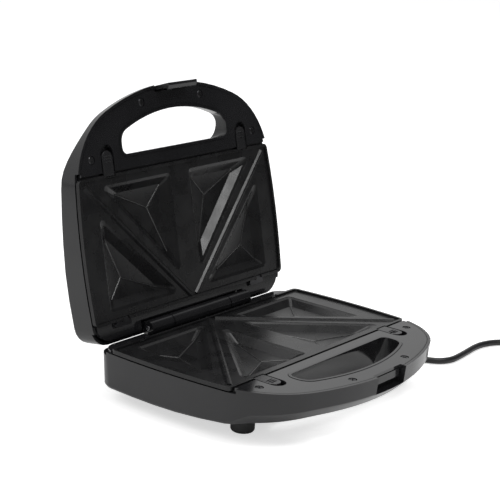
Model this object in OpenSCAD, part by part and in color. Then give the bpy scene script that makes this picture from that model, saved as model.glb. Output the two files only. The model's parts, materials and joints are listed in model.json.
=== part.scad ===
// Sandwich toaster for two slices, standing open.
// Millimetres, +Z up, handle towards -Y, hinge at the back, table at z = 0.
// Most pieces are drawn in a half's own frame: x and y from the middle of the plates,
// z from the parting plane, negative into the half. Base and lid are mirror halves.

/* [Cooking plates] */
// Width of a plate across its front corners
plate_w = 220; // [180:1:266]
// Depth of a plate, from the hinge side to the handle side
plate_d = 105; // [86:1:128]
// Thickness of the flange round a plate
flange_t = 3; // [2.4:0.1:3.8]
// Thickness of the cast metal under the pockets
cast_t = 2.5; // [1.8:0.1:3]
// Depth of a pocket at its deepest point, below the land
pocket_depth = 7; // [6:0.5:10]
// Flat land between the pockets and the plate's front and back edges
land_w = 7.5; // [6.5:0.5:9]
// Flat land between the inner pockets and the plate's middle line
middle_land = 11; // [9:0.5:13]
// Flat land between the outer pockets and the plate's side edges
side_land = 17; // [15:0.5:19]
// Gap between the rims of the two plates when the lid is shut
plate_gap = 1.6; // [1:0.2:3]

/* [Housing] */
// From the front edge of the plates to the front of the handle
handle_len = 59; // [50:0.5:71]
// From the back edge of the plates to the back wall
rear_len = 15.5; // [15:0.5:20]
// Depth of the base, parting plane to its flat underside
half_depth = 32; // [30:0.5:40]
// Depth of the lid's side walls at the back
lid_depth = 23.5; // [22.5:0.5:29]
// How much shallower the base is at the front of the handle
front_rise = 9.6; // [7:0.2:11]
// How far the lid's top falls from its middle to the front of the plates
lid_fall = 5; // [3:0.5:6]
// How much thinner the lid's handle is than the lid at the front of the plates
handle_drop = 12; // [8:0.5:12.5]
// Wall thickness of the mouldings
wall = 2.4; // [2:0.1:2.9]
// Draft of the outer walls, in degrees
draft = 4; // [2:0.5:6]
// Height and width of the bevel under the front of the base
bevel = 9; // [6:0.5:10]
// How far the lid's top swells above its side walls
crown_h = 5; // [3:0.5:7]
// Radius of the front of the handle in plan
front_r = 195; // [180:5:230]
// Radius of the front corners in plan
corner_r = 60; // [54:1:63]
// Radius of the bowed sides in plan
side_r = 520; // [420:10:700]
// Radius of the back corners in plan
rear_r = 16; // [14:1:18]

/* [Handle] */
// Width of the bar in front of the finger hole
bar_w = 19; // [18:0.5:23]
// From the front edge of the plates to the finger hole
hole_setback = 12; // [11:0.5:14]
// Half the width of the finger hole
hole_half_w = 61; // [50:1:66]
// Width of the latch recess in the front wall
latch_w = 36; // [30:1:42]
// Width of a plate release button
button_w = 11; // [9:0.5:13]
// Travel of a plate release button
button_travel = 3; // [2:0.5:3.5]

/* [Hinge and feet] */
// How far the lid stands open, in degrees
lid_open = 103; // [90:1:106]
// Diameter of the hinge pin
pin_d = 4; // [3:0.2:5]
// Radius of the hinge knuckles
knuckle_r = 5.5; // [4.8:0.1:5.7]
// Half the length of the middle knuckle
knuckle_mid = 34; // [26:1:40]
// Length of each outer knuckle
knuckle_side = 24.5; // [18:0.5:28]
// Height of the feet below the base
foot_h = 10.5; // [7:0.5:13]
// Radius of a foot
foot_r = 8.5; // [7:0.5:10]
// Diameter of the mains cord
cord_d = 5; // [4.4:0.1:6]

/* [Hidden] */

run_gap = 0.05;            // radial gap of a turning fit
fit_gap = 0.3;             // gap between pieces that only pass
deck_gap = 0.4;            // visible parting line round the handle deck
big = 400;                 // reach of a cutting block

// Levels in a half's frame
plate_top = -plate_gap / 2;
flange_under = plate_top - flange_t;
land_top = plate_top - 1.5;
deck_top = plate_top - 0.4;
deck_t = 2.4;
side_rim = flange_under - 0.8;
rear_rim = -7;
skirt_end = -16;
floor_in = -half_depth + wall;
side_bevel = 2.5;

// Places along Y in a half's frame
plate_front = -plate_d / 2;
plate_back = plate_d / 2;
deck_back = plate_front - 1.5;
rim_step = deck_back - 2.5;
front_y = plate_front - handle_len;
rear_y = plate_back + rear_len;
hinge_y = rear_y - 4.8;
well_back = hinge_y - knuckle_r - 0.5;

// Outline of a half in plan: a wide front arc, round corners and bowed sides
side_mid_y = 6;
side_gap = 0.6;
side_c = [
    plate_w / 2 + side_gap - sqrt(pow(side_r, 2) - pow(plate_front - side_mid_y, 2)),
    side_mid_y
];
front_c = [0, front_y + front_r];
corner_c = circles_meet(side_c, side_r - corner_r, front_c, front_r - corner_r);
rear_c = [
    side_c.x + sqrt(pow(side_r - rear_r, 2) - pow(rear_y - rear_r - side_mid_y, 2)),
    rear_y - rear_r
];
front_end = angle_of(corner_c - front_c);
side_start = angle_of(corner_c - side_c);
side_end = angle_of(rear_c - side_c);
front_step = (front_end + 90) / 6.5;
housing = concat(
    arc(front_c, front_r, -90 + front_step / 2, front_end, 6),
    arc(corner_c, corner_r, front_end, side_start, 10, 1),
    arc(side_c, side_r, side_start, side_end, 5, 1),
    arc(rear_c, rear_r, side_end, 90, 5, 1)
);

// Outline of a plate: the same bowed sides, cut square and rounded at the corners
plate_corner_r = 4;
plate_r = side_r - side_gap;
function plate_edge(inset) =
    let (r = max(plate_corner_r - inset, 1.5))
    let (reach = plate_r - inset - r)
    let (y1 = plate_front + inset + r)
    let (y2 = plate_back - inset - r)
    let (c1 = [side_c.x + sqrt(pow(reach, 2) - pow(y1 - side_mid_y, 2)), y1])
    let (c2 = [side_c.x + sqrt(pow(reach, 2) - pow(y2 - side_mid_y, 2)), y2])
    let (a1 = angle_of(c1 - side_c))
    let (a2 = angle_of(c2 - side_c))
    concat(arc(c1, r, -90, a1, 4), arc(side_c, reach + r, a1, a2, 6, 1), arc(c2, r, a2, 90, 4, 1));

// The lid's top: how wide the soft edge round it is
tan_draft = tan(draft);
crown_w = rear_r - 1.25 - tan_draft * lid_depth;
lid_top = [crown_w, 0, crown_h, 0];

// Outline of the finger hole: a wide front arc, round ends and a straight back
hole_back = plate_front - hole_setback;
hole_front = front_y + bar_w;
hole_r = 150;
hole_end_r = 10;
hole_corner_r = 5;
hole_c = [0, hole_front + hole_r];
hole_end_x = hole_half_w - hole_end_r;
hole_end_c = [hole_end_x, hole_c.y - sqrt(pow(hole_r - hole_end_r, 2) - pow(hole_end_x, 2))];
hole_corner_c = [hole_half_w - hole_corner_r, hole_back - hole_corner_r];
hole_turn = angle_of(hole_end_c - hole_c);
hole_step = (hole_turn + 90) / 6.5;
finger_hole = concat(
    arc(hole_c, hole_r, -90 + hole_step / 2, hole_turn, 6),
    arc(hole_end_c, hole_end_r, hole_turn, 0, 6, 1),
    arc(hole_corner_c, hole_corner_r, 0, 90, 4)
);
collar_t = 2;
hole_flare = 0.18;         // draft of the hole's walls, as a slope
collar_top = deck_top + 0.3;

// Where along Y the base rises, and where the lid falls and then drops to its handle
rise_span = [side_mid_y + 4, front_y + 12];
fall_span = [side_mid_y + 14, plate_front];
drop_span = [plate_front + 2, hole_front + 3];

// Latch: hangs from the lid's front wall and hooks under a ledge in the base
latch_back = front_y + 10.5;
recess_back = front_y + 8.5;
ledge_front = front_y + 5.3;
ledge_under = -9.1;
recess_floor = -14;
latch_face = front_y + 2;
latch_t = 3;
latch_gap = 1.5;
latch_len = latch_w - 2 * latch_gap;
latch_pivot = [front_y + 6.7, 6.6];
latch_top = 8.6;
latch_tip = -12;
latch_hook = ledge_front + 1.3;
latch_swing = 6;
latch_pin_r = 1.3;
latch_barrel_r = 2.8;

// Release buttons, screws and clips
button_x = plate_w / 2 - 32;
button_front = plate_front - 17;
slot_clear = 1.2;
slot_end = button_front - button_travel - slot_clear;
tray_floor = -6.2;
lug_top = plate_top - 1.8;
screw_spots = [[34, front_y + 12], [plate_w / 2 - 16, plate_front - 12]];
screw_head_r = 2.9;
screw_r = 1.3;
screw_len = 6;
screw_sink = 1.4;         // from the deck down to the seat of a screw's head
bore_spare = 0.4;          // how much deeper a screw's bore is than the screw reaches
boss_r = 3.8;
clip_len = 14;
clip_finger = [4, 10];
clip_t = 0.8;
clip_x = [-plate_w / 2 + 24, plate_w / 2 - 36];

// Pockets: each half of a plate is split corner to corner into two triangles
front_corner = [middle_land, plate_front + land_w];
back_corner = [plate_w / 2 - side_land, plate_back - land_w];
front_tips = [21.5, 19.8]; // from the side edge and from the back edge of the plate
back_tips = [15.5, 27.2];  // from the middle line and from the front edge of the plate
front_leg = [plate_w / 2 - front_tips.x, plate_back - front_tips.y] - front_corner;
back_leg = back_corner - [back_tips.x, plate_front + back_tips.y];
point_h = 1.6;             // height of the three-sided point in a pocket's floor
pocket_wall = pocket_depth - point_h;
pocket_slope_in = 7.4;
pocket_round = 3;
pocket_clear = land_w - cast_t - 0.4;

// Vent slots under the base
vent_x = 18;
vent_y = -14;
vent_pitch = 7;
vent_w = 3;
vent_len = 28;

// Feet, heater, reflector and what is wired inside
foot_x = plate_w / 2 - 30;
foot_front_y = plate_front + 9.5;
foot_rear_y = plate_back - 2.5;
foot_neck_r = 3;
heater_r = 3.2;
heater_z = land_top - pocket_depth - cast_t - heater_r - 0.2;
heater_x = plate_w / 2 - 44;
heater_y = plate_d / 2 - 29.4;
sheet_t = 0.6;
pan_inset = 9;
pan_z = heater_z - heater_r - 0.1;
block_at = [16, plate_back - 8, floor_in];
lamp_x = 9;
lamp_y = plate_front + 14;
lamp_r = 4;
lamp_seat = -lid_depth - crown_h + lid_rise(lamp_y) + 0.9;
lamp_len = pan_z - sheet_t - fit_gap - lamp_seat;

// The open pose, and where the plates' middle lies over the table
parting_z = half_depth + foot_h;
open_reach = max([for (p = concat(lid_ring([0, 0, 0, 0]), lid_ring(lid_top))) hinge_y
    + (p.y - hinge_y) * cos(lid_open) - p.z * sin(lid_open)]);
middle_y = -(front_y + open_reach) / 2;

// Mains cord: from the back wall down to the table, round the right side and away
cord_r = cord_d / 2;
cord_x = 62;
relief_r = 4.4;
relief_flange_r = 5.4;
cord_z = skirt_end - relief_flange_r - 0.1;
relief_y = rear_y + tan_draft * cord_z;
relief_len = 24;
relief_end = [cord_x, middle_y + relief_y + relief_len, parting_z + cord_z];
route = [
    relief_end, [62, 93, 20.6], [63, 101, 18.6], [66, 109, 13.6], [71, 115, 8], [78, 120, 4.2],
    [87, 124, 2.8], [98, 126, 2.6], [110, 124, 2.6], [121, 118, 2.6], [129, 108, 2.6],
    [133, 96, 2.6], [135, 80, 2.6], [136, 60, 2.6], [136, 40, 2.6], [136, 20, 2.6],
    [136, 0, 2.6], [136, -20, 2.6], [137, -38, 2.6], [138, -51, 2.6], [141, -61, 2.6],
    [147, -69, 2.6], [157, -73, 2.6], [170, -73, 2.6], [184, -72, 2.6], [198, -71, 2.6],
    [210, -72, 2.6], [221, -76, 2.6], [230, -83, 2.6], [237, -92, 2.6], [240, -102, 2.6],
    [240, -111, 2.6]
];

// The rest of the cord lies in a coil: in along the table, up a layer and out again
coil_turns = 3;
coil_steps = 24;
coil_r = 6 * cord_d;
coil_pitch = cord_d + 0.8;
coil_layer = cord_d + 0.6;
coil_start = route[len(route) - 1];
coil_c = coil_start + [coil_r, -cord_d, 0];
coil_end = coil_start + [0, -2 * cord_d, coil_layer];
coil_path = concat(
    [coil_start],
    [for (i = [0:coil_turns * coil_steps]) coil_point(i / coil_steps)],
    [coil_end]
);
function coil_point(t) =
    let (r = coil_r - coil_pitch * (coil_turns / 2 - abs(t - coil_turns / 2)))
    let (climb = along([coil_turns / 2 - 0.25, coil_turns / 2 + 0.25], t))
    coil_c + [-r * cos(360 * t), -r * sin(360 * t), coil_layer * softly(climb)];
// Least gap between turns of the coil, measured over points more than half a turn apart
coil_gap = min([
    for (i = [0:len(coil_path) - 1])
        for (j = [i + coil_steps / 2:1:len(coil_path) - 1])
            norm(coil_path[i] - coil_path[j])
]) - cord_d;

// Two-pin moulded plug, lying flat at the end of the coil
plug_w = 36;
plug_len = 36;
plug_t = 2 * coil_end.z;
plug_relief = 22;
plug_pin_r = 2.4;
plug_pin_gap = 19;
plug_pin_len = 19;

function angle_of(v) = atan2(v.y, v.x);
function arc(c, r, a0, a1, n, first = 0) = [
    for (i = [first:n])
        let (a = a0 + (a1 - a0) * i / n)
        [c.x + r * cos(a), c.y + r * sin(a), cos(a), sin(a)]
];
// The point nearer the handle where two circles meet
function circles_meet(c1, r1, c2, r2) =
    let (d = norm(c2 - c1))
    let (u = (c2 - c1) / d)
    let (a = (r1 * r1 - r2 * r2 + d * d) / (2 * d))
    let (h = sqrt(r1 * r1 - a * a))
    c1 + a * u + h * [u.y, -u.x];
// An outline's right half, moved in by a distance, as a whole closed polygon
function ring(half, inset) = concat(
    [for (p = half) [p.x - inset * p[2], p.y - inset * p[3]]],
    [for (i = [len(half) - 1:-1:0]) let (p = half[i]) [-p.x + inset * p[2], p.y - inset * p[3]]]
);
// How far y has come along a span, from 0 to 1
function along(span, y) = min(max((span[0] - y) / (span[0] - span[1]), 0), 1);
// The same with a soft start and end
function softly(t) = t * t * (3 - 2 * t);
// How much shallower each half is at a place along Y than at its back
function base_rise(y) = front_rise * pow(along(rise_span, y), 1.7);
function lid_rise(y) = lid_fall * along(fall_span, y) + handle_drop * softly(along(drop_span, y));
// Bevel at a point of the outline: small along the sides and back, wide round the front
function bevel_at(p) =
    side_bevel + (bevel - side_bevel) * softly(along([-7, -27], angle_of([p[2], p[3]])));
// One ring of a moulding past the end of its straight wall. s = [inset, inset in bevels,
// depth, depth in bevels], depths counted from where the wall ends; in_lid is 1 or 0
function ring_past(s, in_lid) =
    let (right = [for (p = housing)
        let (b = (1 - in_lid) * bevel_at(p))
        let (base_end = half_depth - base_rise(p.y) - b)
        let (wall_end = in_lid * (lid_depth - lid_rise(p.y)) + (1 - in_lid) * base_end)
        let (i = tan_draft * wall_end + s[0] + s[1] * b)
        [p.x - i * p[2], p.y - i * p[3], -wall_end - s[2] - s[3] * b]])
    concat(right, [for (i = [len(right) - 1:-1:0]) [-right[i].x, right[i].y, right[i].z]]);
function base_ring(s) = ring_past(s, 0);
function lid_ring(s) = ring_past(s, 1);
function flat_ring(inset, z) = [for (p = ring(housing, inset)) [p.x, p.y, z]];

// Triangles between each of a number of rings, of n points each, and the next
function side_faces(n, count) = [
    for (k = [0:count - 2], i = [0:n - 1])
        let (a = k * n + i)
        let (b = k * n + (i + 1) % n)
        each [[a, b, b + n], [a, b + n, a + n]]
];

// Solid through a stack of rings, closed by a flat top and a strip-built floor
module moulding(rings) {
    n = 2 * len(housing);
    half = len(housing);
    last = (len(rings) - 1) * n;
    top = [[for (i = [n - 1:-1:0]) i]];
    floor_strips = [
        for (i = [0:half - 2])
            let (a = last + i)
            let (b = last + n - 1 - i)
            each [[a, a + 1, b - 1], [a, b - 1, b]]
    ];
    polyhedron([for (r = rings) each r], concat(top, side_faces(n, len(rings)), floor_strips));
}

// Solid through a stack of flat rings with equal counts of points, from the top down
module skin(rings) {
    n = len(rings[0]);
    last = (len(rings) - 1) * n;
    top = [[for (i = [n - 1:-1:0]) i]];
    bottom = [[for (i = [0:n - 1]) last + i]];
    polyhedron([for (r = rings) each r], concat(top, side_faces(n, len(rings)), bottom));
}

module base_outer() {
    moulding([
        flat_ring(0, deck_top),
        base_ring([0, 0, -0.6, 0]),
        base_ring([0.5, 0, 0.7, 0]),
        base_ring([-0.9, 1, -0.5, 1]),
        base_ring([0, 1, 0, 1])
    ]);
}

module base_inner() {
    moulding([
        flat_ring(wall, 5),
        flat_ring(wall, deck_top),
        base_ring([wall, 0, 0, 0]),
        base_ring([wall, 0.75, -wall, 1])
    ]);
}

module lid_outer() {
    moulding([
        flat_ring(0, deck_top),
        lid_ring([0, 0, -0.7, 0]),
        lid_ring([0.3, 0, 0.5, 0]),
        lid_ring([0.17 * crown_w, 0, 0.34 * crown_h, 0]),
        lid_ring([0.42 * crown_w, 0, 0.63 * crown_h, 0]),
        lid_ring([0.75 * crown_w, 0, 0.88 * crown_h, 0]),
        lid_ring(lid_top)
    ]);
}

module lid_inner() {
    moulding([
        flat_ring(wall, 5),
        flat_ring(wall, deck_top),
        lid_ring([wall, 0, -0.5 * wall, 0]),
        lid_ring([wall + 0.3 * crown_w, 0, 0.63 * crown_h - wall, 0]),
        lid_ring([crown_w, 0, crown_h - wall, 0])
    ]);
}

// The finger hole, or its collar with grow: straight at the deck, wider towards the outside
module hole_form(grow, top) {
    reach = half_depth + 2;
    skin([
        flat_outline(-grow, top),
        flat_outline(-grow, -4),
        flat_outline(-grow - hole_flare * (reach - 4), -reach)
    ]);
}
function flat_outline(inset, z) = [for (p = ring(finger_hole, inset)) [p.x, p.y, z]];

module slab(outline, inset, z0, z1) {
    translate([0, 0, z0]) linear_extrude(z1 - z0) polygon(ring(outline, inset));
}

module block(x0, x1, y0, y1, z0, z1) {
    translate([x0, y0, z0]) cube([x1 - x0, y1 - y0, z1 - z0]);
}

module rod_x(r, x0, x1) {
    translate([x0, 0, 0]) rotate([0, 90, 0]) cylinder(r = r, h = x1 - x0, $fn = 48);
}

module both_sides() {
    children();
    mirror([1, 0, 0]) children();
}

// Places a half-frame piece in the base, or in the lid as it stands open
module in_base() {
    translate([0, middle_y, parting_z]) children();
}

module in_lid() {
    translate([0, middle_y + hinge_y, parting_z])
        rotate([-lid_open, 0, 0])
        translate([0, -hinge_y, 0])
        mirror([0, 0, 1])
        children();
}

// ---- Housings ----

module bosses() {
    for (side = [-1, 1], p = screw_spots)
        translate([side * p.x, p.y, -big / 2])
            cylinder(r = boss_r, h = big / 2 + deck_top - deck_t, $fn = 32);
}

module boss_bores() {
    for (side = [-1, 1], p = screw_spots)
        translate([side * p.x, p.y, deck_top - screw_sink - screw_len - bore_spare])
            cylinder(r = screw_r + run_gap, h = screw_len + 2, $fn = 32);
}

// What stays standing inside a housing: collar, screw bosses and the latch recess walls
module inner_walls(back) {
    hole_form(collar_t, collar_top);
    bosses();
    block(-latch_w / 2 - wall, latch_w / 2 + wall, front_y, back + wall,
        -big / 2, deck_top - deck_t);
}

// A housing from its outer form and the form inside it
module housing_half(back) {
    difference() {
        union() {
            children(0);
            slab(finger_hole, -collar_t, deck_top - 1, collar_top);
        }
        difference() {
            children(1);
            inner_walls(back);
        }
        hole_form(0, 5);
        block(-big, big, rim_step, big, side_rim, 10);
        block(-big, big, well_back, big, rear_rim, 10);
        boss_bores();
    }
}

function foot_y(side) = side > 0 ? foot_rear_y : foot_front_y;

module at_feet() {
    for (sx = [-1, 1], sy = [-1, 1])
        translate([sx * foot_x, foot_y(sy), -half_depth]) children();
}

module vent_slots() {
    for (side = [-1, 1], i = [0:6])
        translate([side * (vent_x + vent_pitch * i), vent_y, -half_depth - 1])
            linear_extrude(wall + 4) {
                square([vent_w, vent_len], center = true);
                for (end = [-1, 1]) translate([0, end * vent_len / 2]) circle(r = vent_w / 2, $fn = 24);
            }
}

module base_shell() {
    color([0.09, 0.09, 0.095]) in_base() difference() {
        union() {
            housing_half(recess_back) {
                base_outer();
                base_inner();
            }
            at_feet() cylinder(r = foot_r + 1.5, h = wall + front_rise / 2, $fn = 64);
        }
        at_feet() translate([0, 0, -1]) cylinder(r = foot_neck_r + run_gap, h = big / 8, $fn = 32);
        at_feet() translate([0, 0, wall]) cylinder(r = foot_r - 1, h = big / 8, $fn = 48);
        difference() {
            block(-latch_w / 2, latch_w / 2, front_y - 5, recess_back, recess_floor, 5);
            block(-latch_w / 2 + 2, latch_w / 2 - 2, ledge_front, recess_back + 1,
                ledge_under, deck_top - deck_t - 0.1);
        }
        vent_slots();
        translate([cord_x, rear_y + 1, cord_z]) rotate([90, 0, 0])
            cylinder(r = relief_r + run_gap, h = 12, $fn = 48);
    }
}

module lid_shell() {
    color([0.09, 0.09, 0.095]) in_lid() difference() {
        housing_half(latch_back) {
            lid_outer();
            lid_inner();
        }
        block(-latch_w / 2, latch_w / 2, front_y - 5, latch_back, -latch_top - 1, 5);
        translate([0, latch_pivot.x, -latch_pivot.y])
            rod_x(latch_pin_r + run_gap, -latch_w / 2 - wall - 1, latch_w / 2 + wall + 1);
        for (side = [-1, 1]) translate([side * lamp_x, lamp_y, lamp_seat]) {
            translate([0, 0, -5]) cylinder(r = lamp_r + 1.2, h = 5, $fn = 48);
            translate([0, 0, -1]) cylinder(r = lamp_r + run_gap, h = 9, $fn = 48);
        }
    }
}

// ---- Inner frames: handle deck, plate seat and hinge knuckles in one moulding ----

module button_slot(extra) {
    half_w = button_w / 2 + slot_clear + extra;
    round_y = slot_end + half_w - extra;
    translate([0, round_y]) circle(r = half_w, $fn = 48);
    translate([-half_w, round_y]) square([2 * half_w, deck_back + 0.01 - round_y]);
}

module deck_region() {
    difference() {
        slab(housing, wall + deck_gap, deck_top - deck_t, deck_top);
        block(-big, big, deck_back, big, -big, big);
        slab(finger_hole, -collar_t - deck_gap, -big / 2, big / 2);
        block(-latch_w / 2 - fit_gap, latch_w / 2 + fit_gap, -big, ledge_front + 0.7, -big, big);
    }
}

module cross_wall() {
    intersection() {
        block(-big, big, deck_back - 2, deck_back, skirt_end, deck_top - 0.01);
        slab(housing, wall + 1.8, skirt_end, deck_top);
    }
}

module seat() {
    difference() {
        union() {
            slab(housing, wall + 1.2, flange_under - 2, flange_under);
            slab(housing, wall + 1.7, skirt_end, flange_under - 1);
        }
        slab(housing, wall + 3.7, skirt_end - 1, flange_under - 2);
        block(-big, big, -big, deck_back - 1, -big, big);
        slab(plate_edge(6.2), 0, -big / 2, big / 2);
        block(-plate_w / 2 + 10, plate_w / 2 - 10, plate_front + pocket_clear,
            plate_back - pocket_clear, -big / 2, big / 2);
        block(-hinge_half - 2, hinge_half + 2, well_back, big, -6.7, big);
    }
}

hinge_half = knuckle_mid + 0.8 + knuckle_side;

module apron() {
    block(-hinge_half - 3, hinge_half + 3, well_back - 2, rear_y - wall - 1.7, -8.5, -6.7);
    block(-hinge_half - 3, hinge_half + 3, well_back - 2, well_back, -8.5, flange_under - 1);
}

module knuckle(x0, x1) {
    translate([0, hinge_y, 0]) rod_x(knuckle_r, x0, x1);
    block(x0, x1, hinge_y - 3.5, hinge_y + 1, -8, -1);
}

module button_trays() {
    both_sides() translate([button_x, 0, tray_floor - 1.6]) {
        difference() {
            linear_extrude(deck_top - deck_t - tray_floor + 1.7) button_slot(1.6);
            translate([0, 0, 1.6]) linear_extrude(big) button_slot(0);
        }
    }
}

module frame_half() {
    difference() {
        union() {
            deck_region();
            cross_wall();
            seat();
            apron();
            button_trays();
        }
        both_sides() translate([button_x, 0, tray_floor]) linear_extrude(big) button_slot(0);
        both_sides() block(button_x - button_w / 2 - slot_clear, button_x + button_w / 2 + slot_clear,
            deck_back - 3, plate_front + 1, tray_floor, big);
        for (side = [-1, 1], p = screw_spots) translate([side * p.x, p.y, 0]) {
            translate([0, 0, -big / 2]) cylinder(r = screw_r + 0.3, h = big, $fn = 32);
            translate([0, 0, deck_top - screw_sink]) cylinder(r = screw_head_r + 0.2, h = 5, $fn = 32);
        }
    }
}

module base_frame() {
    color([0.16, 0.16, 0.17]) in_base() difference() {
        union() {
            frame_half();
            both_sides() knuckle(knuckle_mid + 0.8, hinge_half);
        }
        translate([0, hinge_y, 0]) rod_x(pin_d / 2 + run_gap, -big, big);
    }
}

module lid_frame() {
    color([0.16, 0.16, 0.17]) in_lid() difference() {
        union() {
            frame_half();
            knuckle(-knuckle_mid + 0.2, knuckle_mid - 0.2);
        }
        translate([0, hinge_y, 0]) rod_x(pin_d / 2 + run_gap, -big, big);
    }
}

// ---- Cooking plates ----

// A right-angled triangle with round corners, shrunk by a distance, as points
function pocket_ring(leg, d, round_r) =
    let (shrink = d + round_r)
    let (r_in = (leg.x + leg.y - norm(leg)) / 2)
    let (k = (r_in - shrink) / r_in)
    let (c = [r_in, r_in])
    let (v = [[0, 0], [leg.x, 0], [0, leg.y]])
    let (b = angle_of([leg.x, -leg.y]))
    let (turn = [[180, 270], [270, 360 + 90 + b], [90 + b, 180]])
    [for (i = [0:2], j = [0:3])
        let (p = c + k * (v[i] - c))
        let (a = turn[i][0] + (turn[i][1] - turn[i][0]) * j / 3)
        [p.x + round_r * cos(a), p.y + round_r * sin(a)]];

// A pocket, or with grow the metal round it: sloping sides and a shallow three-sided point
module pocket_form(leg, grow) {
    r_in = (leg.x + leg.y - norm(leg)) / 2;
    rim = pocket_ring(leg, -grow, pocket_round);
    shoulder = pocket_ring(leg, 2.2 - grow, pocket_round - 0.6);
    foot = pocket_ring(leg, pocket_slope_in - grow, pocket_round - 1);
    n = len(rim);
    top_z = grow > 0 ? -0.5 : 3;
    points = concat(
        [for (p = rim) [p.x, p.y, top_z]],
        [for (p = rim) [p.x, p.y, -0.2 - grow]],
        [for (p = shoulder) [p.x, p.y, -1.1 - grow]],
        [for (p = foot) [p.x, p.y, -pocket_wall - grow]],
        [[r_in, r_in, -pocket_depth - grow]]
    );
    top = [[for (i = [n - 1:-1:0]) i]];
    point_faces = [for (i = [0:n - 1]) [3 * n + i, 3 * n + (i + 1) % n, 4 * n]];
    polyhedron(points, concat(top, side_faces(n, 4), point_faces));
}

// The four pockets: right angles at the outer back corner and at the inner front corner
module pockets(grow) {
    both_sides() translate([0, 0, land_top]) {
        translate(back_corner) rotate(180) pocket_form(back_leg, grow);
        translate(front_corner) pocket_form(front_leg, grow);
    }
}

module ridge(from, to) {
    len_r = norm(to - from);
    translate([from.x, from.y, land_top - 0.3]) rotate(angle_of(to - from)) rotate([90, 0, 90])
        linear_extrude(len_r) polygon([[-2.8, 0], [2.8, 0], [0.9, 1.6], [-0.9, 1.6]]);
}

module plate_half() {
    difference() {
        union() {
            difference() {
                slab(plate_edge(0), 0, flange_under, plate_top);
                slab(plate_edge(2.2), 0, land_top, 5);
            }
            both_sides() ridge([plate_w / 2 - 6, plate_front + 5.7], [3, plate_back - 2.9]);
            pockets(cast_t);
        }
        pockets(0);
        both_sides() block(button_x - button_w / 2 - 0.4, button_x + button_w / 2 + 0.4,
            plate_front - 1, plate_front + 1.5, lug_top, 5);
        for (x = clip_x)
            block(x + clip_finger[0] - fit_gap, x + clip_finger[1] + fit_gap,
                plate_back - 2.4, big, lug_top, 5);
    }
}

module base_plate() {
    color([0.2, 0.2, 0.21]) in_base() plate_half();
}

module lid_plate() {
    color([0.2, 0.2, 0.21]) in_lid() plate_half();
}

// Spring-steel clips on the seat that hold a plate's back edge
module clips_half() {
    for (x = clip_x) {
        x1 = x + clip_finger[0];
        x2 = x + clip_finger[1];
        block(x1, x2, plate_back - 1.9, plate_back + 1.2, lug_top + 0.1, lug_top + 0.1 + clip_t);
        block(x1, x2, plate_back + 0.4, plate_back + 1.2, flange_under, lug_top + 0.1 + clip_t);
        block(x - 5, x + clip_len, plate_back + 0.4, plate_back + 4.2,
            flange_under, flange_under + clip_t);
        translate([x - 2.5, plate_back + 2.3, flange_under]) cylinder(r = 1.8, h = 2, $fn = 32);
    }
}

module base_plate_clips() {
    color([0.75, 0.76, 0.78]) in_base() clips_half();
}

module lid_plate_clips() {
    color([0.75, 0.76, 0.78]) in_lid() clips_half();
}

// ---- Release buttons ----

module button_form() {
    top = deck_top;
    r = button_w / 2;
    difference() {
        union() {
            translate([0, button_front + r, top - 2.2]) cylinder(r = r, h = 2.2, $fn = 48);
            block(-r, r, button_front + r, plate_front + 1.2, top - 2.2, top);
            block(-r + 1.5, r - 1.5, button_front + r, deck_back - 2.6, tray_floor + 0.1, top - 2);
        }
        block(-big, big, deck_back + 0.2, big, -big, lug_top + 0.2);
        for (i = [0:2])
            block(-r + 2, r - 2, button_front + 4 + 2 * i, button_front + 5 + 2 * i, top - 0.5, 5);
    }
}

module button_half(side) {
    translate([side * button_x, 0, 0]) button_form();
}

module base_button_left() {
    color([0.13, 0.13, 0.135]) in_base() button_half(-1);
}

module base_button_right() {
    color([0.13, 0.13, 0.135]) in_base() button_half(1);
}

module lid_button_left() {
    color([0.13, 0.13, 0.135]) in_lid() button_half(-1);
}

module lid_button_right() {
    color([0.13, 0.13, 0.135]) in_lid() button_half(1);
}

// ---- Screws ----

module screws_half() {
    for (side = [-1, 1], p = screw_spots) translate([side * p.x, p.y, 0]) difference() {
        union() {
            translate([0, 0, deck_top - screw_sink]) cylinder(r = screw_head_r, h = 1, $fn = 32);
            translate([0, 0, deck_top - screw_sink - screw_len])
                cylinder(r = screw_r, h = screw_len + 0.5, $fn = 32);
        }
        block(-0.4, 0.4, -1.8, 1.8, deck_top - 1, 5);
        block(-1.8, 1.8, -0.4, 0.4, deck_top - 1, 5);
    }
}

module base_screws() {
    color([0.35, 0.35, 0.36]) in_base() screws_half();
}

module lid_screws() {
    color([0.35, 0.35, 0.36]) in_lid() screws_half();
}

// ---- Heating ----

module bent_rod(bend_r) {
    rotate_extrude(angle = 180, $fn = 96) translate([bend_r, 0]) circle(r = heater_r, $fn = 32);
}

module heater_half() {
    translate([0, 0, heater_z]) {
        for (side = [-1, 1]) translate([0, side * heater_y, 0]) {
            rod_x(heater_r, -heater_x - 6, heater_x);
            rod_x(1.4, -heater_x - 16, -heater_x - 5);
            rod_x(heater_r - 0.7, -heater_x - 9, -heater_x - 5.5);
        }
        translate([heater_x, 0, 0]) rotate(-90) bent_rod(heater_y);
    }
}

module base_heater() {
    color([0.5, 0.5, 0.52]) in_base() heater_half();
}

module lid_heater() {
    color([0.5, 0.5, 0.52]) in_lid() heater_half();
}

module reflector_half() {
    difference() {
        union() {
            slab(plate_edge(pan_inset), 0, pan_z - sheet_t, skirt_end - 0.1);
            slab(plate_edge(4.6), 0, skirt_end - 0.1 - sheet_t, skirt_end - 0.1);
        }
        slab(plate_edge(pan_inset + sheet_t), 0, pan_z, 5);
    }
}

module base_reflector() {
    color([0.7, 0.71, 0.72]) in_base() reflector_half();
}

module lid_reflector() {
    color([0.7, 0.71, 0.72]) in_lid() reflector_half();
}

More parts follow.
